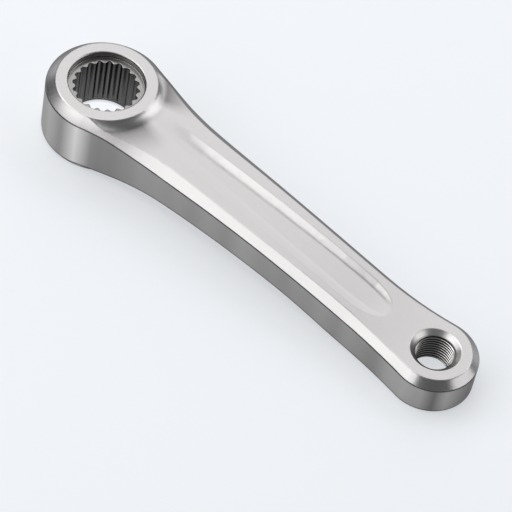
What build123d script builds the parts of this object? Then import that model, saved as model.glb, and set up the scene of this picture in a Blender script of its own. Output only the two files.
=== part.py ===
# Bicycle crank arm, left side: one forged and machined piece of aluminium.
# The spindle axis is Z and the arm runs along +X to the pedal axis.
# The origin is on the spindle axis, in the inner boss face, and +Z points outwards from the bicycle.
import os
from math import cos, radians, sin, sqrt, tan
from build123d import *

os.makedirs("parts", exist_ok=True)

# Length of the arm between its two axes, in millimetres as all sizes here
centre_distance = 150.0

# Head around the spindle, from the spline's roots outwards
spline_root_diameter = 23.6
spline_teeth = 20
tooth_height = 1.05
groove_root_width = 0.9
groove_flare = 0.85
tooth_rounding = 0.3
pilot_relief = 0.2
pilot_length = 2.4
bolt_ledge = 1.8
counterbore_depth = 2.6
ring_width = 4.25
head_bevel = 3.35
head_height = 24.1
boss_step = 0.6

# Eye around the pedal axle: 9/16 inch thread, modelled at its major diameter
pedal_thread_diameter = 14.288
countersink_width = 1.606
countersink_angle = 90.0
eye_wall = 8.156
eye_height = 14.2
eye_bevel = 2.75

# Outline of the arm, seen from above, and the bevel that runs round it
waist_width = 25.6
waist_to_pedal = 30.0
flank_radius = 1600.0
neck_radius = 150.0
bevel_angle = 45.0

# Side view of the arm. Each point is a share of the centre distance and a share of the head's height.
shoulder_at_neck = (0.16, 0.797)
shoulder_at_middle = (0.413, 0.71)
shoulder_at_waist = (0.72, 0.587)
top_at_head = (0.067, 0.934)
top_at_neck = (0.16, 0.919)
top_at_middle = (0.413, 0.844)
top_at_waist = (0.767, 0.685)
eye_run_in = 4.0
sole_at_boss = (-0.08, 0.021)
sole_at_head = (0.053, 0.062)
sole_at_neck = (0.133, 0.137)
sole_at_shaft = (0.207, 0.207)
sole_at_crown = (0.333, 0.251)
sole_at_waist = (0.667, 0.168)
eye_sole_start = 2.0

# Collar that lifts the ring out of the arm: a low cone below the ring, then a wide blend
collar_angle = 32.0
collar_cone_height = 0.16

# Shallow channel along the top of the arm: it fades in at the collar and ends round before the eye.
# Each station has its place along the top line, then its depth, the half width of its flat floor and
# its half width at the rim, as shares of the channel's own depth and half width.
channel_depth = 0.75
channel_width = 15.2
channel_stations = [
    (0.059, -3.00, 0.05, 0.84),
    (0.077, -0.78, 0.05, 0.84),
    (0.088, -0.23, 0.05, 0.84),
    (0.102, 0.00, 0.06, 0.84),
    (0.122, 0.17, 0.08, 0.84),
    (0.150, 0.38, 0.10, 0.84),
    (0.190, 0.63, 0.15, 0.86),
    (0.240, 0.84, 0.20, 0.89),
    (0.310, 0.97, 0.26, 0.92),
    (0.400, 1.00, 0.33, 0.96),
    (0.500, 1.00, 0.40, 0.99),
    (0.600, 1.00, 0.46, 1.00),
    (0.700, 0.97, 0.50, 1.00),
    (0.770, 0.92, 0.51, 1.00),
    (0.805, 0.83, 0.48, 0.97),
    (0.830, 0.68, 0.43, 0.90),
    (0.850, 0.48, 0.35, 0.79),
    (0.866, 0.25, 0.25, 0.64),
    (0.878, 0.02, 0.15, 0.46),
    (0.886, -0.20, 0.07, 0.28),
]
rim_lift = 0.1
rim_angle = 6.0

# Edge treatment
shoulder_rounding = 0.4
sole_rounding = 0.5
boss_chamfer = 0.25
bore_chamfer = 0.6
mouth_chamfer = 0.3

# Room for cutting shapes to reach past the arm, and room in the lean of a wall, bevel or sole
spare = 10.0
lean_room = 0.2

root_radius = spline_root_diameter / 2
tip_radius = root_radius - tooth_height
counterbore_radius = root_radius + bolt_ledge
ring_radius = counterbore_radius + ring_width
head_radius = ring_radius + head_bevel
thread_radius = pedal_thread_diameter / 2
eye_radius = thread_radius + eye_wall
half_waist = waist_width / 2
half_room = head_radius + eye_radius + spare
left_end = -head_radius - spare
right_end = centre_distance + eye_radius + spare
bevel_slope = tan(radians(bevel_angle))
bevel_lean = cos(radians(bevel_angle))
head_shoulder = head_height - head_bevel * bevel_slope
eye_shoulder = eye_height - eye_bevel * bevel_slope
rim_slope = tan(radians(rim_angle))


def side_point(shares):
    """Point of the side view, from its shares of the centre distance and of the head's height."""
    return Vector(shares[0] * centre_distance, shares[1] * head_height)


head_top = side_point(top_at_head)
collar_slope = tan(radians(collar_angle))
collar_blend_rise = head_height - head_top.Y - collar_cone_height
collar_blend = collar_blend_rise / (sin(radians(collar_angle)) * tan(radians(collar_angle / 2)))
bevel_rise = 2 * head_height - head_shoulder - head_top.Y
bevel_run = bevel_rise / bevel_slope
spindle = Vector(0, 0)
pedal = Vector(centre_distance, 0)


def touch_point(centre, radius, other):
    """Point at which a circle touches another circle, whose centre is given."""
    return centre + (other - centre).normalized() * radius


# The long hollow flank is tangent, at the waist, to the blend of the eye. Nearer the head
# it is tangent to a tighter blend, which touches the head's circle.
waist = Vector(centre_distance - waist_to_pedal, half_waist)
eye_blend = (waist_to_pedal**2 + half_waist**2 - eye_radius**2) / (2 * (eye_radius - half_waist))
eye_touch = touch_point(waist + Vector(0, eye_blend), eye_blend, pedal)
flank_centre = waist + Vector(0, flank_radius)
flank_reach = flank_radius - neck_radius
neck_reach = neck_radius + head_radius
flank_distance = flank_centre.length
neck_along = (neck_reach**2 - flank_reach**2 + flank_distance**2) / (2 * flank_distance)
neck_across = sqrt(neck_reach**2 - neck_along**2)
flank_way = flank_centre.normalized()
neck_centre = flank_way * neck_along + Vector(flank_way.Y, -flank_way.X) * neck_across
neck_touch = touch_point(flank_centre, flank_radius, neck_centre)
head_touch = touch_point(spindle, head_radius, neck_centre)


def shoulder_line(lift):
    """Edge between the side walls and the bevel, seen from the side and raised by the given lift."""
    points = [
        Vector(head_top.X, head_shoulder),
        side_point(shoulder_at_neck),
        side_point(shoulder_at_middle),
        side_point(shoulder_at_waist),
        Vector(centre_distance, eye_shoulder),
    ]
    return Spline(*[point + Vector(0, lift) for point in points], tangents=[(1, 0), (1, 0)])


def top_line():
    """Top of the arm from the head to the eye, seen from the side."""
    points = [
        head_top,
        side_point(top_at_neck),
        side_point(top_at_middle),
        side_point(top_at_waist),
        Vector(centre_distance - eye_run_in, eye_height),
    ]
    return Spline(*points, tangents=[(1, 0), (1, 0)])


def sole_line():
    """Arched underside from the head to the eye, seen from the side."""
    points = [
        side_point(sole_at_boss),
        side_point(sole_at_head),
        side_point(sole_at_neck),
        side_point(sole_at_shaft),
        side_point(sole_at_crown),
        side_point(sole_at_waist),
        Vector(centre_distance + eye_sole_start, 0),
    ]
    return Spline(*points, tangents=[(1, 0), (1, 0)])


# Forged blank: the outline between the arched sole and a roof that stands above the finished top.
# The bevel runs up to that roof, so every top face that is cut later ends on the bevel.
with BuildPart() as blank:
    with BuildSketch() as outline:
        with BuildLine():
            RadiusArc((-head_radius, 0), head_touch, head_radius)
            TangentArc(head_touch, neck_touch, tangent=(head_touch.Y, -head_touch.X))
            TangentArc(waist, neck_touch, tangent=(-1, 0))
            TangentArc(waist, eye_touch, tangent=(1, 0))
            RadiusArc(eye_touch, (centre_distance + eye_radius, 0), eye_radius)
            mirror(about=Plane.XZ)
        make_face()
    extrude(amount=head_height + bevel_rise)
    with BuildSketch(Plane.XZ.offset(-half_room)) as side_view:
        with BuildLine():
            roof = shoulder_line(bevel_rise)
            sole = sole_line()
            Polyline(roof @ 1, (right_end, (roof @ 1).Y), (right_end, 0), sole @ 1)
            Polyline(sole @ 0, (left_end, (sole @ 0).Y), (left_end, (roof @ 0).Y), roof @ 0)
        make_face()
    extrude(amount=2 * half_room, mode=Mode.INTERSECT)
    head_roof = blank.faces().filter_by(Plane.XY).sort_by(Axis.Z)[-1]
    head_rim = head_roof.edges().filter_by(GeomType.CIRCLE)[0]
    chamfer(head_rim, bevel_run, bevel_rise, reference=head_roof)
    bevels = blank.faces().filter_by(lambda face: abs(face.normal_at().Z - bevel_lean) < lean_room)
    walls = blank.faces().filter_by(lambda face: abs(face.normal_at().Z) < lean_room)
    soles = blank.faces().filter_by(lambda face: face.normal_at().Z < -lean_room)
    shoulder_edge = bevels.edges() & walls.edges()
    sole_edge = soles.edges() & walls.edges()
    fillet(sole_edge, sole_rounding)
    fillet(shoulder_edge, shoulder_rounding)

# Finished top: the arm's sloping face with the ring on its blended collar.
with BuildPart() as top_form:
    with BuildSketch(Plane.XZ.offset(-half_room)) as top_side:
        with BuildLine():
            arm_top = top_line()
            Polyline(
                arm_top @ 1,
                (right_end, eye_height),
                (right_end, -spare),
                (left_end, -spare),
                (left_end, head_top.Y),
                arm_top @ 0,
            )
        make_face()
    extrude(amount=2 * half_room)
    with BuildSketch(Plane.XZ) as collar:
        with BuildLine():
            collar_foot = ring_radius + head_height / collar_slope
            Polyline((-collar_foot, 0), (-ring_radius, head_height), (0, head_height), (0, 0), close=True)
        make_face()
    revolve(axis=Axis.Z)
    collar_edge = top_form.faces().filter_by(GeomType.CONE).edges().filter_by(GeomType.BSPLINE)
    fillet(collar_edge, collar_blend)

# Channel: what it takes away is a straight loft from station to station.
with BuildPart() as channel:
    half_channel = channel_width / 2
    ceiling = head_height + spare
    with BuildLine(mode=Mode.PRIVATE):
        guide = top_line()
    for along, deep, flat, wide in channel_stations:
        station = guide @ along
        floor = station.Y - deep * channel_depth
        rim = station.Y + rim_lift - min(0, deep) * channel_depth
        flat_edge = flat * half_channel
        rim_edge = wide * half_channel
        with BuildSketch(Plane.YZ.offset(station.X)):
            with BuildLine():
                Line((-flat_edge, floor), (flat_edge, floor))
                Spline((flat_edge, floor), (rim_edge, rim), tangents=[(1, 0), (1, rim_slope)])
                Polyline((rim_edge, rim), (rim_edge, ceiling), (-rim_edge, ceiling), (-rim_edge, rim))
                Spline((-rim_edge, rim), (-flat_edge, floor), tangents=[(1, -rim_slope), (1, 0)])
            make_face()
    loft(ruled=True)

with BuildPart() as crank_arm:
    add(blank.part)
    add(top_form.part, mode=Mode.INTERSECT)
    add(channel.part, mode=Mode.SUBTRACT)
    # Faced boss, with which the head seats on the bicycle
    with BuildSketch() as head_seat:
        Circle(head_radius - boss_step)
    extrude(amount=head_shoulder)
    boss_rim = crank_arm.edges().filter_by(GeomType.CIRCLE).group_by(Axis.Z)[0].sort_by(Axis.X)[0]
    chamfer(boss_rim, boss_chamfer)

    # Spindle bore: a plain pilot at the inner face, then the spline, then the counterbore of the bolt.
    # Each groove is drawn two tooth heights deep, and each side flares once per tooth height.
    groove_base = tip_radius - tooth_height
    groove_base_width = groove_root_width + 4 * groove_flare
    with BuildSketch() as pilot:
        Circle(root_radius + pilot_relief)
    extrude(amount=pilot_length, mode=Mode.SUBTRACT)
    with BuildSketch(Plane.XY.offset(pilot_length)) as spline:
        with PolarLocations(0, spline_teeth):
            Polygon(
                (groove_base, groove_base_width / 2),
                (root_radius, groove_root_width / 2),
                (root_radius, -groove_root_width / 2),
                (groove_base, -groove_base_width / 2),
                align=None,
            )
        Circle(root_radius, mode=Mode.INTERSECT)
        Circle(tip_radius)
        fillet(spline.vertices(), tooth_rounding)
    extrude(amount=head_height, mode=Mode.SUBTRACT)
    with BuildSketch(Plane.XY.offset(head_height)) as counterbore:
        Circle(counterbore_radius)
    extrude(amount=-counterbore_depth, mode=Mode.SUBTRACT)

    # Threaded pedal hole with its countersink
    with Locations((centre_distance, 0, eye_height)):
        CounterSinkHole(thread_radius, thread_radius + countersink_width, counter_sink_angle=countersink_angle)
    round_edges = crank_arm.edges().filter_by(GeomType.CIRCLE)
    inner_mouths = round_edges.group_by(Axis.Z)[0].sort_by(SortBy.RADIUS)[:2]
    counterbore_mouth = round_edges.group_by(Axis.Z)[-1].sort_by(SortBy.RADIUS)[0]
    chamfer(inner_mouths, bore_chamfer)
    chamfer(counterbore_mouth, mouth_chamfer)

crank_arm.part.label = "crank_arm"
export_step(crank_arm.part, "parts/crank_arm.step")
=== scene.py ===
# %% [markdown]
# # A bicycle crank arm
# The arm is one forged and machined piece of aluminium, and the frame brings its exact shape. What
# is left for Blender is everything that light shows: the satin metal with its tool marks, the cut
# thread in the pedal hole, and a plain studio around it.

# %% Load the frame
import math
import bmesh
import bpy
from mathutils import Matrix, Vector


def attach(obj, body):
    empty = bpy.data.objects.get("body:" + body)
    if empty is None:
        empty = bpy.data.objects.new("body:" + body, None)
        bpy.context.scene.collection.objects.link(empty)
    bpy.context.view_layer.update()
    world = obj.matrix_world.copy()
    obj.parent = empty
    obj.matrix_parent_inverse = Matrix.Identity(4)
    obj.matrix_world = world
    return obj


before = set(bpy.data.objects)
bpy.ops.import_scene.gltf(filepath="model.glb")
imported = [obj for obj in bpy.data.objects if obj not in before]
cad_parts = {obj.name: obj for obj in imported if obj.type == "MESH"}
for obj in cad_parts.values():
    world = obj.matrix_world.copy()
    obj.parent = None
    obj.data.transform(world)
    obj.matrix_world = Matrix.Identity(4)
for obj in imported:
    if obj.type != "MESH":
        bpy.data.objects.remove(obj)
bpy.context.view_layer.update()
scene = bpy.context.scene
scene.view_settings.view_transform = "Standard"
crank_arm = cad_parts["crank_arm"]
MM = 0.001
print("nodes:", sorted(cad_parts))

# %% [markdown]
# ## Camera
# The photograph was taken from above the right-hand side with a long lens, so the arm hardly tapers
# by perspective, and the camera was rolled a little. Blender's camera could be turned with three
# angles, but a matrix says it more plainly: its columns are the camera's right, up and backward
# directions. The lens comes from the focal length in pixels, because the image's 512 pixels span
# the sensor.

# %% Place the camera
IMAGE_SIZE = 512
FOCAL_PIXELS = 2865.9
SENSOR_WIDTH = 36
AZIMUTH, ELEVATION, ROLL = math.radians(31.34), math.radians(51.15), math.radians(11.86)
TARGET = Vector((76.4, -4.07, 0)) * MM
DISTANCE = 986.7 * MM
NEAREST, FARTHEST = 0.05, 50

camera_data = bpy.data.cameras.new("camera")
camera = bpy.data.objects.new("camera", camera_data)
scene.collection.objects.link(camera)
camera_data.sensor_width = SENSOR_WIDTH
camera_data.lens = FOCAL_PIXELS / IMAGE_SIZE * SENSOR_WIDTH
back = Vector((
    math.sin(AZIMUTH) * math.cos(ELEVATION),
    -math.cos(AZIMUTH) * math.cos(ELEVATION),
    math.sin(ELEVATION),
))
sideways = Vector((math.cos(AZIMUTH), math.sin(AZIMUTH), 0))
upright = back.cross(sideways)
camera_x = sideways * math.cos(ROLL) + upright * math.sin(ROLL)
camera_y = back.cross(camera_x)
turn = Matrix((camera_x, camera_y, back)).transposed()
camera.matrix_world = Matrix.Translation(TARGET + back * DISTANCE) @ turn.to_4x4()
camera_data.clip_start, camera_data.clip_end = NEAREST, FARTHEST
scene.camera = camera
print("lens:", round(camera_data.lens, 1), "mm, seen from", [round(c, 3) for c in camera.location])

# %% [markdown]
# ## Shader maths
# A finish is made of masks and noises that are added, multiplied and compared. In the node editor
# each step is a Math node. Here a small class wraps a socket, so that `1 - mask * 0.5` adds those
# nodes by itself, and one method adds every other kind of node. The settings go in first, because
# they decide which sockets a node has.


# %% A class for sockets
class Socket:
    """The output of a node, on which Python's operators add Math nodes."""

    def __init__(self, finish, link):
        self.finish = finish
        self.link = link

    def other(self, output):
        """Another output of the same node."""
        return Socket(self.finish, self.link.node.outputs[output])

    def math(self, operation, *values, clamp=False):
        """A Math node of this operation, on this value and any others."""
        settings = {"operation": operation, "use_clamp": clamp}
        return self.finish.node("ShaderNodeMath", settings, dict(enumerate((self, *values))))

    def __add__(self, other):
        return self.math("ADD", other)

    def __radd__(self, other):
        return self.math("ADD", other)

    def __sub__(self, other):
        return self.math("SUBTRACT", other)

    def __rsub__(self, other):
        return (self * -1).math("ADD", other)

    def __mul__(self, other):
        return self.math("MULTIPLY", other)

    def __rmul__(self, other):
        return self.math("MULTIPLY", other)

    def share(self, low, high):
        """How far the value has come from one limit to another, kept between 0 and 1."""
        return (self - low).math("DIVIDE", high - low, clamp=True)

    def above(self, limit, soft):
        """0 below a limit and 1 above it, with a soft edge."""
        return self.share(limit - soft, limit + soft)

    def below(self, limit, soft):
        """1 below a limit and 0 above it, with a soft edge."""
        return self.share(limit + soft, limit - soft)

    def between(self, low, high, soft):
        """1 where the value lies between two limits, with soft edges, and 0 elsewhere."""
        return self.above(low, soft) * self.below(high, soft)


print("a socket knows", [name for name in vars(Socket) if not name.startswith("_")])


# %% A class for a finish
class Finish:
    """A node tree, with one method that adds any node."""

    def __init__(self, tree):
        self.tree = tree
        tree.nodes.clear()

    def node(self, kind, settings, values, output=0):
        """Adds a node, sets it up, then gives its sockets their values or links."""
        made = self.tree.nodes.new(kind)
        for name, setting in settings.items():
            setattr(made, name, setting)
        for name, value in values.items():
            if isinstance(value, Socket):
                self.tree.links.new(value.link, made.inputs[name])
            else:
                made.inputs[name].default_value = value
        return Socket(self, made.outputs[output]) if made.outputs else None


def new_material(name):
    """A material with an empty node tree, and the finish that fills it."""
    material = bpy.data.materials.new(name)
    material.use_nodes = True
    return material, Finish(material.node_tree)


print("a finish adds any node")

# %% [markdown]
# ## Floor
# The part lies on a pale, faintly blue paper sweep. Paper is a diffuse surface that keeps the soft
# shadow of the part. Product photographs lift such paper almost to white afterwards, and that is
# done here with a share of glow that only the camera and reflections see, so it lights nothing.
# More lamps could lift the paper too, but they would also bleach the metal. Inside the two holes
# the paper lies in deep shadow, and a spot with a larger share of glow keeps it as light as in the
# photograph.

# %% Lay the paper
FLOOR_HALF_WIDTH = 4.0
PAPER_COLOUR = (0.923, 0.946, 0.979, 1)
PAPER_GLOW = 0.5
CENTRE_DISTANCE = 150.0
# Where a hole's axis meets the paper, the radius of the spot in the hole, its share of glow
HOLE_SPOTS = (((0, 0, 0), 12 * MM, 1.0), ((CENTRE_DISTANCE * MM, 0, 0), 7.5 * MM, 0.68))
SPOT_EDGE = 1 * MM

floor_mesh = bpy.data.meshes.new("floor")
floor_form = bmesh.new()
bmesh.ops.create_grid(floor_form, x_segments=1, y_segments=1, size=FLOOR_HALF_WIDTH)
floor_form.to_mesh(floor_mesh)
floor_form.free()
floor = bpy.data.objects.new("floor", floor_mesh)
scene.collection.objects.link(floor)
paper, finish = new_material("paper")
lit = finish.node("ShaderNodeBsdfDiffuse", {}, {"Color": PAPER_COLOUR})
glow = finish.node("ShaderNodeEmission", {}, {"Color": PAPER_COLOUR, "Strength": 1.0})
camera_ray = finish.node("ShaderNodeLightPath", {}, {}, "Is Camera Ray")
seen = camera_ray
for ray in ("Is Glossy Ray", "Is Transmission Ray"):
    seen = seen.math("MAXIMUM", camera_ray.other(ray))
spot = finish.node("ShaderNodeTexCoord", {}, {}, "Object")
glow_share = PAPER_GLOW
for axis, radius, hole_glow in HOLE_SPOTS:
    apart = {"operation": "DISTANCE"}
    from_axis = finish.node("ShaderNodeVectorMath", apart, {0: spot, 1: axis}, "Value")
    inside = from_axis.below(radius, SPOT_EDGE)
    glow_share = glow_share + inside * (hole_glow - PAPER_GLOW)
shaded = finish.node("ShaderNodeMixShader", {}, {0: seen * glow_share, 1: lit, 2: glow})
finish.node("ShaderNodeOutputMaterial", {}, {"Surface": shaded})
floor_mesh.materials.append(paper)
print("floor", 2 * FLOOR_HALF_WIDTH, "m wide")

# %% [markdown]
# ## Studio light
# Polished metal shows the room more than itself, so the softboxes are placed by what each face
# mirrors. The level top mirrors the two broad boxes behind and overhead, the near bevel mirrors a
# long bright box at the front left, and the collar's right side mirrors a small bright box at the
# rear right. The slope below the ring mirrors the gap between them and goes dark. The right and
# front boxes are quieter, for whoever walks round the part. A grey world fills what is left.

# %% Hang the softboxes
# Where a box stands, its width and height, its brightness
SOFTBOXES = {
    "overhead_box": ((-0.54, -0.04, 1.09), (0.91, 1.20), 1.45),
    "rear_box": ((-0.38, 0.89, 0.75), (1.06, 1.20), 0.95),
    "rear_right_box": ((0.44, 0.81, 0.87), (0.56, 0.62), 1.45),
    "front_left_box": ((-0.54, -0.78, 0.76), (1.60, 0.61), 1.42),
    "right_box": ((1.14, 0.46, 0.42), (1.05, 0.75), 0.90),
    "front_box": ((0.08, -1.25, 0.36), (1.10, 0.36), 0.60),
}
# Watts per square metre with which a box looks white
WATTS_FOR_WHITE = 4
WORLD_GREY = (0.15, 0.153, 0.157, 1)

for name, (place, (width, height), brightness) in SOFTBOXES.items():
    data = bpy.data.lights.new(name, "AREA")
    data.shape = "RECTANGLE"
    data.size, data.size_y = width, height
    data.energy = brightness * WATTS_FOR_WHITE * width * height
    softbox = bpy.data.objects.new(name, data)
    scene.collection.objects.link(softbox)
    softbox.location = place
    softbox.rotation_mode = "QUATERNION"
    softbox.rotation_quaternion = (TARGET - softbox.location).to_track_quat("-Z", "Y")
    softbox.visible_camera = False
    print(name, "gives", round(data.energy, 2), "W")

world = bpy.data.worlds.new("studio")
scene.world = world
world.use_nodes = True
finish = Finish(world.node_tree)
sky = finish.node("ShaderNodeBackground", {}, {"Color": WORLD_GREY, "Strength": 1.0})
finish.node("ShaderNodeOutputWorld", {}, {"Surface": sky})

# %% [markdown]
# ## Helpers for metal
# The arm and its thread are the same metal with different marks, so both start from the same few
# functions. Each finish works out where it is from the object's own coordinates. Image textures
# could do the same, but they would need an unwrapped mesh. A Bevel node rounds the normal at the
# edges, so that a sharp edge still catches a line of light.

# %% Write the helpers
# Tint of what the metal mirrors where it is seen at a slant
EDGE_TINT = (0.3, 0.3, 0.3, 1)
EDGE_SAMPLES = 6
MARK_DEPTH = 0.02
# Numbers of a colour Mix node's sockets, because it has one of each type under the same name
MIX_FACTOR, MIX_A, MIX_B, MIX_RESULT = 0, 6, 7, 2


def metal_place(finish):
    """The object's own coordinates in millimetres: as a vector, and as x, y and z."""
    spot = finish.node("ShaderNodeTexCoord", {}, {}, "Object")
    scaled = {0: spot, "Scale": 1 / MM}
    place = finish.node("ShaderNodeVectorMath", {"operation": "SCALE"}, scaled)
    x = finish.node("ShaderNodeSeparateXYZ", {}, {0: place})
    return place, x, x.other(1), x.other(2)


def upward_part(finish):
    """The normal, and how far it points up: 1 on a level top, 0 on a wall, -1 underneath."""
    normal = finish.node("ShaderNodeNewGeometry", {}, {}, "Normal")
    return normal, finish.node("ShaderNodeSeparateXYZ", {}, {0: normal}, 2)


def radius_of(across, along):
    """The distance from an axis."""
    return (across * across + along * along).math("SQRT")


def noise(finish, dimensions, place, scale, detail):
    """A noise from 0 to 1, along a number, over a plane or in space."""
    socket = "W" if dimensions == "1D" else "Vector"
    values = {socket: place, "Scale": scale, "Detail": detail}
    return finish.node("ShaderNodeTexNoise", {"noise_dimensions": dimensions}, values)


def blend_colours(finish, factor, first, second):
    """A colour between two others."""
    colours = {MIX_FACTOR: factor, MIX_A: first, MIX_B: second}
    return finish.node("ShaderNodeMix", {"data_type": "RGBA"}, colours, MIX_RESULT)


def soft_edges(finish, radius):
    """A normal that is rounded over at the edges."""
    return finish.node("ShaderNodeBevel", {"samples": EDGE_SAMPLES}, {"Radius": radius * MM})


def close_metal(finish, colour, roughness, height, strength, normal):
    """The metal shader itself, with the marks as a bump."""
    depth = MARK_DEPTH * MM
    marked = {"Strength": strength, "Distance": depth, "Height": height, "Normal": normal}
    values = {
        "Base Color": colour,
        "Roughness": roughness,
        "Metallic": 1.0,
        "Specular Tint": EDGE_TINT,
        "Normal": finish.node("ShaderNodeBump", {}, marked),
    }
    metal = finish.node("ShaderNodeBsdfPrincipled", {}, values)
    finish.node("ShaderNodeOutputMaterial", {}, {"Surface": metal})


print("helpers ready")

# %% [markdown]
# ## Satin aluminium: tool marks
# The forging is tumbled and finely polished, then its seats are turned on a lathe: the ring, the
# bolt's seat and the pedal hole's countersink carry fine concentric lines, the splined bore has the
# upright streaks of a broach, and the arm has a faint grain along its length. Each tool gets a mask
# that says where it has been, and each mask picks its own noise. One noise all over would be
# shorter, but no tool leaves the same mark everywhere.

# %% Find where each tool has been
LEVEL = 0.9
RING_INSIDE, RING_OUTSIDE = 10.0, 18.2
SEAT_OUTSIDE, SEAT_LOW, SEAT_HIGH = 15.0, 20.5, 22.5
BORE_OUTSIDE, BORE_LEAN = 12.8, 0.6
SINK_OUTSIDE = 8.9
SHARP, SOFT, SOFTER = 0.05, 0.1, 0.2

satin, finish = new_material("satin_aluminium")
place, x, y, z = metal_place(finish)
normal, lean = upward_part(finish)
from_pedal = x - CENTRE_DISTANCE
head_radius, eye_radius = radius_of(x, y), radius_of(from_pedal, y)
level = lean.above(LEVEL, SHARP)
ring = level * head_radius.between(RING_INSIDE, RING_OUTSIDE, SOFT) * z.above(SEAT_LOW, SOFTER)
seat = level * head_radius.between(RING_INSIDE, SEAT_OUTSIDE, SOFT)
seat = seat * z.between(SEAT_LOW, SEAT_HIGH, SOFTER)
bore = head_radius.below(BORE_OUTSIDE, SHARP) * lean.between(-BORE_LEAN, BORE_LEAN, SOFT)
sink = eye_radius.below(SINK_OUTSIDE, SHARP)
outside = (1 - bore) * (1 - sink)
print("masks of the tools:", len(satin.node_tree.nodes), "nodes so far")

# %% Lay the tool marks
GRAIN_STRETCH = (0.06, 2.2, 2.2)
GRAIN_SHARE = 0.6

head_lines = noise(finish, "1D", head_radius, scale=7.0, detail=3.0)
eye_lines = noise(finish, "1D", eye_radius, scale=7.0, detail=3.0)
streaks = noise(finish, "1D", y.math("ARCTAN2", x), scale=60.0, detail=2.0)
along = finish.node("ShaderNodeMapping", {}, {"Vector": place, "Scale": GRAIN_STRETCH})
grain = noise(finish, "3D", along, scale=1.0, detail=4.0)
speckle = noise(finish, "3D", place, scale=5.0, detail=2.0)
cloud = noise(finish, "3D", place, scale=0.05, detail=3.0)
forged = grain * GRAIN_SHARE + speckle * (1 - GRAIN_SHARE)
machined = head_lines * ring + eye_lines * sink + streaks * bore
marks = machined + forged * (1 - ring.math("MAXIMUM", sink)) * (1 - bore)
print("tool marks:", len(satin.node_tree.nodes), "nodes so far")

# %% [markdown]
# ## Satin aluminium: walls, edges and corners
# The upright walls stay as forged and rougher. Their colour is painted shade, with upright bands of
# painted sheen. A band is a range of headings round the axis of the head or the eye. A thin painted
# dark line follows the edges of the walls, where the rounded normal of a Bevel node leaves the real
# one, and where the small fillets lean. Painted shade darkens the upward faces round the collar,
# leaving bright the sweep up its middle. All this could be painted into an attribute of the mesh,
# but the solid's mesh stays as it is, so radius, heading and normal say where it lies.

# %% Band the walls
WALL_LEAN = 0.15
WALL_PAINTED_SHEEN = 0.36
RIPPLE = 0.3
# Heading round the axis and half the width in degrees, change of painted sheen
HEAD_SHEEN_BANDS = ((-140, 36, 0.36), (-76, 8, 0.62), (-52, 8, -0.08))
EYE_SHEEN_BANDS = ((-106, 24, 0.12), (-50, 8, -0.32))
HEAD_REACH, EYE_REACH, REACH_EDGE = 27.0, 18.0, 2.0
BAND_EDGE = 8.0

wall = lean.between(-WALL_LEAN, WALL_LEAN, SOFT) * outside
ripple = noise(finish, "2D", place, scale=0.07, detail=1.0)
# The walls' colour is painted shade, lifted in bands of painted sheen.
painted_sheen = WALL_PAINTED_SHEEN + (ripple - 0.5) * RIPPLE
head_heading = y.math("ARCTAN2", x).math("DEGREES")
eye_heading = y.math("ARCTAN2", from_pedal).math("DEGREES")
head_near = head_radius.below(HEAD_REACH, REACH_EDGE)
eye_near = eye_radius.below(EYE_REACH, REACH_EDGE)
for bands, heading, near in (
    (HEAD_SHEEN_BANDS, head_heading, head_near),
    (EYE_SHEEN_BANDS, eye_heading, eye_near),
):
    for middle, half, change in bands:
        sheen_band = heading.between(middle - half, middle + half, BAND_EDGE)
        painted_sheen = painted_sheen + sheen_band * near * change
print("bands:", len(HEAD_SHEEN_BANDS), "on the head,", len(EYE_SHEEN_BANDS), "on the eye")

# %% Line the edges
LINE_WIDTH, LINE_SAMPLES, LINE_STRENGTH = 0.9, 8, 150.0
LINE_LEAN = (-0.85, 0.6)
RIM_LEANS = ((0.1, 0.6), (-0.9, -0.1))

rounding = {"Radius": LINE_WIDTH * MM}
rounded = finish.node("ShaderNodeBevel", {"samples": LINE_SAMPLES}, rounding)
dot = {"operation": "DOT_PRODUCT"}
bend = finish.node("ShaderNodeVectorMath", dot, {0: rounded, 1: normal}, "Value")
# Painted shade: a dark line where the rounded normal bends away from the real one, and on the small
# fillets.
edge_shade = (1 - bend).math("MULTIPLY", LINE_STRENGTH, clamp=True) * lean.between(*LINE_LEAN, SHARP)
for low, high in RIM_LEANS:
    edge_shade = edge_shade.math("MAXIMUM", lean.between(low, high, SHARP))
edge_shade = edge_shade * outside
print("lines", LINE_WIDTH, "mm wide at the edges of the walls")

# %% Paint shade beside the collar
# Radius at which the painted shade beside the collar begins, is darkest and ends
SHADE_START, SHADE_PEAK, SHADE_END = 18.8, 21.5, 35.5
SHADE_FADE, SHADE_SHARE = 1.6, 0.75
# Headings between which the collar is left without painted shade
UNSHADED_SWEEP, UNSHADED_SWEEP_EDGE = (-8.0, 22.0), 5.0
BEVEL_LEAN, TOP_LEAN, TOP_EDGE = 0.55, 0.93, 0.03

# Painted shade on the upward faces round the collar, left out in the sweep up its middle.
rise = head_radius.share(SHADE_START, SHADE_PEAK)
fade = head_radius.share(SHADE_END, SHADE_PEAK).math("POWER", SHADE_FADE)
unshaded_sweep = head_heading.between(*UNSHADED_SWEEP, UNSHADED_SWEEP_EDGE)
upward = (lean.above(BEVEL_LEAN, SOFT) + lean.above(TOP_LEAN, TOP_EDGE)) * 0.5
collar_shade = rise * fade * (1 - unshaded_sweep) * upward * SHADE_SHARE
print("dull from radius", SHADE_START, "to", SHADE_END, "mm")

# %% [markdown]
# ## Satin aluminium: shine and colour
# Roughness and a very fine bump carry the marks, because on bare metal a mark is a change of shine
# more than of colour. The colours are then laid over each other like coats of paint, each with its
# mask, from the polished top to the broached bore. One big mix could do it too, but coats are
# easier to change.

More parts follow.
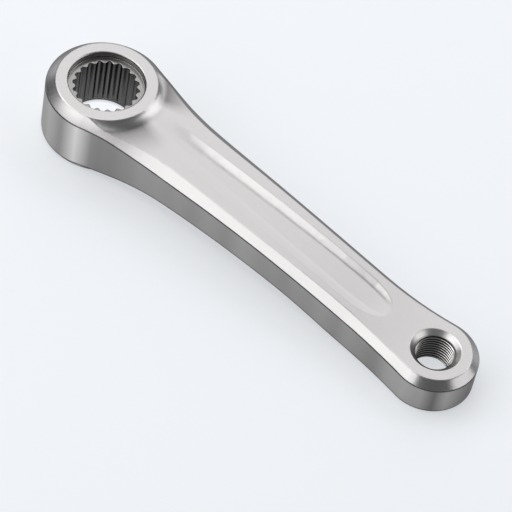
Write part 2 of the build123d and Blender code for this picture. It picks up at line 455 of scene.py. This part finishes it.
# %% Mix the metal
METAL_COLOUR = (0.545, 0.532, 0.53, 1)
METAL_DARK = (0.495, 0.482, 0.48, 1)
COLLAR_SHADE_COLOUR = (0.08, 0.078, 0.077, 1)
SINK_COLOUR = (0.68, 0.664, 0.66, 1)
SEAT_COLOUR = (0.32, 0.31, 0.305, 1)
WALL_PAINTED_LIGHT = (0.84, 0.815, 0.80, 1)
WALL_PAINTED_SHADE = (0.15, 0.146, 0.143, 1)
EDGE_SHADE_COLOUR = (0.07, 0.07, 0.07, 1)
BORE_SHADE_PALE = (0.20, 0.193, 0.188, 1)
BORE_SHADE_DEEP = (0.05, 0.048, 0.047, 1)
STREAKS_LOW, STREAKS_HIGH = 0.3, 0.7
METAL_ROUGHNESS, WALL_ROUGHNESS = 0.25, 0.45
MARKS_ROUGHNESS, CLOUD_ROUGHNESS, CUT_ROUGHNESS = 0.10, 0.06, 0.10
MARKS_STRENGTH = 0.15
SOFT_EDGE = 0.6

roughness = METAL_ROUGHNESS + (marks - 0.5) * MARKS_ROUGHNESS + (cloud - 0.5) * CLOUD_ROUGHNESS
roughness = roughness + (bore + sink) * CUT_ROUGHNESS
roughness = roughness + wall * (WALL_ROUGHNESS - METAL_ROUGHNESS)
colour = blend_colours(finish, (marks + cloud) * 0.5, METAL_DARK, METAL_COLOUR)
# The walls' coat: painted shade with bands of painted sheen.
painted_wall_sheen = blend_colours(finish, painted_sheen.share(0, 1), WALL_PAINTED_SHADE, WALL_PAINTED_LIGHT)
# The bore's streaks are broach marks, and its darkness is painted shade.
dark_streaks = streaks.share(STREAKS_LOW, STREAKS_HIGH)
shaded_broach = blend_colours(finish, dark_streaks, BORE_SHADE_DEEP, BORE_SHADE_PALE)
for mask, coat in (
    (collar_shade, COLLAR_SHADE_COLOUR),
    (sink, SINK_COLOUR),
    (seat, SEAT_COLOUR),
    (wall, painted_wall_sheen),
    (edge_shade, EDGE_SHADE_COLOUR),
    (bore, shaded_broach),
):
    colour = blend_colours(finish, mask, colour, coat)
edges = soft_edges(finish, SOFT_EDGE)
close_metal(finish, colour, roughness, marks, MARKS_STRENGTH, edges)
crank_arm.data.materials.clear()
crank_arm.data.materials.append(satin)
print("satin aluminium:", len(satin.node_tree.nodes), "nodes")

# %% [markdown]
# ## Pedal thread
# The eye of the arm is tapped for the pedal axle: a ridge that winds down the hole, left-handed on
# a left arm so that riding doesn't unscrew the pedal. The solid has the plain bore, and the ridge
# is one section that is spun round the axis while it climbs. A Screw modifier could wind it too,
# but the ridge is cut next, and that needs its mesh. The section is the usual sixty degree form:
# its base is seven eighths of the pitch wide and its crest a quarter. The ridge has to stop at the
# countersink and at the lower chamfer, which are cones. Leaning the whole ridge until a cone
# becomes a level plane lets one bisect do that cut, and leaning it back gives the cone.

# %% Spin the ridge
PITCH = 1.27 * MM
BORE_RADIUS = 7.144 * MM
RIDGE_HEIGHT = 0.687 * MM
RIDGE_ROOT = 0.03 * MM
BASE_SHARE, CREST_SHARE = 7 / 8, 1 / 4
SINK_FOOT = 12.594 * MM
CHAMFER_TOP = 0.6 * MM
STEPS_PER_TURN = 64
SPARE_TURNS = 1
AXIS = Vector((CENTRE_DISTANCE * MM, 0, 0))

ridge = bmesh.new()
base, crest = PITCH * BASE_SHARE / 2, PITCH * CREST_SHARE / 2
low = CHAMFER_TOP - SPARE_TURNS * PITCH
turns = round((SINK_FOOT - CHAMFER_TOP) / PITCH) + 2 * SPARE_TURNS
outer, inner = BORE_RADIUS + RIDGE_ROOT, BORE_RADIUS - RIDGE_HEIGHT
section = [(outer, -base), (inner, -crest), (inner, crest), (outer, base)]
points = [AXIS + Vector((radius, 0, low + height)) for radius, height in section]
start = ridge.faces.new([ridge.verts.new(point) for point in points])
bmesh.ops.spin(
    ridge,
    geom=[start, *start.edges, *start.verts],
    cent=AXIS,
    axis=(0, 0, 1),
    dvec=(0, 0, PITCH / STEPS_PER_TURN),
    angle=-2 * math.pi * turns,
    steps=turns * STEPS_PER_TURN,
)
print("ridge of", turns, "turns:", len(ridge.faces), "faces")

# %% Cut the ridge at the two cones
CONE_SLOPE = 1
ON_PLANE, SAME_POINT = 1e-9, 1e-7


def lean_ridge(slope):
    """Raises each point of the ridge by its distance inside the bore's wall, times the slope."""
    for vert in ridge.verts:
        vert.co.z += slope * (BORE_RADIUS - (vert.co - AXIS).to_2d().length)


def cut_ridge(height, upwards):
    """Takes off what lies beyond a level plane, and closes the cut."""
    bmesh.ops.bisect_plane(
        ridge,
        geom=[*ridge.verts, *ridge.edges, *ridge.faces],
        dist=ON_PLANE,
        plane_co=(0, 0, height),
        plane_no=(0, 0, 1 if upwards else -1),
        clear_outer=True,
    )
    rim = [edge for edge in ridge.edges if edge.is_boundary]
    bmesh.ops.holes_fill(ridge, edges=rim, sides=0)


lean_ridge(CONE_SLOPE)
cut_ridge(SINK_FOOT, upwards=True)
lean_ridge(-2 * CONE_SLOPE)
cut_ridge(CHAMFER_TOP, upwards=False)
lean_ridge(CONE_SLOPE)
bmesh.ops.triangulate(ridge, faces=[face for face in ridge.faces if len(face.verts) > 4])
bmesh.ops.remove_doubles(ridge, verts=ridge.verts, dist=SAME_POINT)
bmesh.ops.recalc_face_normals(ridge, faces=ridge.faces)
open_edges = sum(not edge.is_manifold for edge in ridge.edges)
print("cut ridge:", len(ridge.faces), "faces,", open_edges, "open edges")

# %% Make the ridge a piece
SHARP_ANGLE = math.radians(30)

# Spin leaves its faces in another order in each run, so points and faces are sorted by place
for parts, where in (
    (ridge.verts, lambda vert: vert.co[:]),
    (ridge.faces, lambda face: face.calc_center_median()[:]),
):
    for number, part in enumerate(sorted(parts, key=where)):
        part.index = number
    parts.sort()
thread_mesh = bpy.data.meshes.new("pedal_thread")
ridge.to_mesh(thread_mesh)
ridge.free()
thread_mesh.shade_smooth()
thread_mesh.set_sharp_from_angle(angle=SHARP_ANGLE)
thread = bpy.data.objects.new("pedal_thread", thread_mesh)
scene.collection.objects.link(thread)
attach(thread, "root")
print("thread:", len(thread_mesh.vertices), "points on body root")

# %% [markdown]
# ## Cut thread finish
# A tap leaves fine lines that follow the thread. The flanks that face up carry a painted highlight
# and the rest of the ridge painted shade, while the grooves are darker still, least in the open
# turn at the countersink. The distance from the axis tells a groove, and the normal's upward part
# tells a flank from a crest, so two masks give the finish.

# %% Finish the thread
FLANK_PAINTED_LIGHT = (0.74, 0.722, 0.715, 1)
CREST_PAINTED_SHADE = (0.05, 0.049, 0.048, 1)
GROOVE_DARK_COLOUR = (0.02, 0.02, 0.02, 1)
FLANK_LEAN = 0.3
GROOVE_RADIUS = 6.66
# Height less radius at the countersink, and the share of the grooves' darkness that stays above it
SINK_LEVEL, SINK_DARK_SHARE = 5.36, 0.4
FLANK_LIGHT_SHARE, FLANK_LINES = 0.7, 0.4
TAP_ROUGHNESS, LINES_ROUGHNESS, GROOVE_ROUGHNESS = 0.22, 0.08, 0.2
LINES_STRENGTH = 0.2
CREST_EDGE = 0.06

tapped, finish = new_material("tapped_thread")
_, x, y, z = metal_place(finish)
_, lean = upward_part(finish)
eye_radius = radius_of(x - CENTRE_DISTANCE, y)
below_sink = (z - eye_radius).below(SINK_LEVEL, SHARP)
groove = eye_radius.above(GROOVE_RADIUS, SHARP)
# The grooves are darker, and less so above the countersink's foot.
groove = groove * (SINK_DARK_SHARE + below_sink * (1 - SINK_DARK_SHARE))
flank = lean.above(FLANK_LEAN, SOFT)
lines = noise(finish, "1D", eye_radius, scale=9.0, detail=2.0)
# Painted highlight on the upward flanks, painted shade on the rest of the ridge.
painted_flank_light = flank * (FLANK_LIGHT_SHARE + lines * FLANK_LINES)
cut = blend_colours(finish, painted_flank_light, CREST_PAINTED_SHADE, FLANK_PAINTED_LIGHT)
colour = blend_colours(finish, groove, cut, GROOVE_DARK_COLOUR)
roughness = TAP_ROUGHNESS + lines * LINES_ROUGHNESS + groove * GROOVE_ROUGHNESS
edges = soft_edges(finish, CREST_EDGE)
close_metal(finish, colour, roughness, lines, LINES_STRENGTH, edges)
thread_mesh.materials.append(tapped)
print("tapped thread:", len(tapped.node_tree.nodes), "nodes")

# %% [markdown]
# ## Last update
# The dressed part must be as large as the solid it dresses; this cell only brings the view layer up
# to date.

# %% Bring the view layer up to date
bpy.context.view_layer.update()
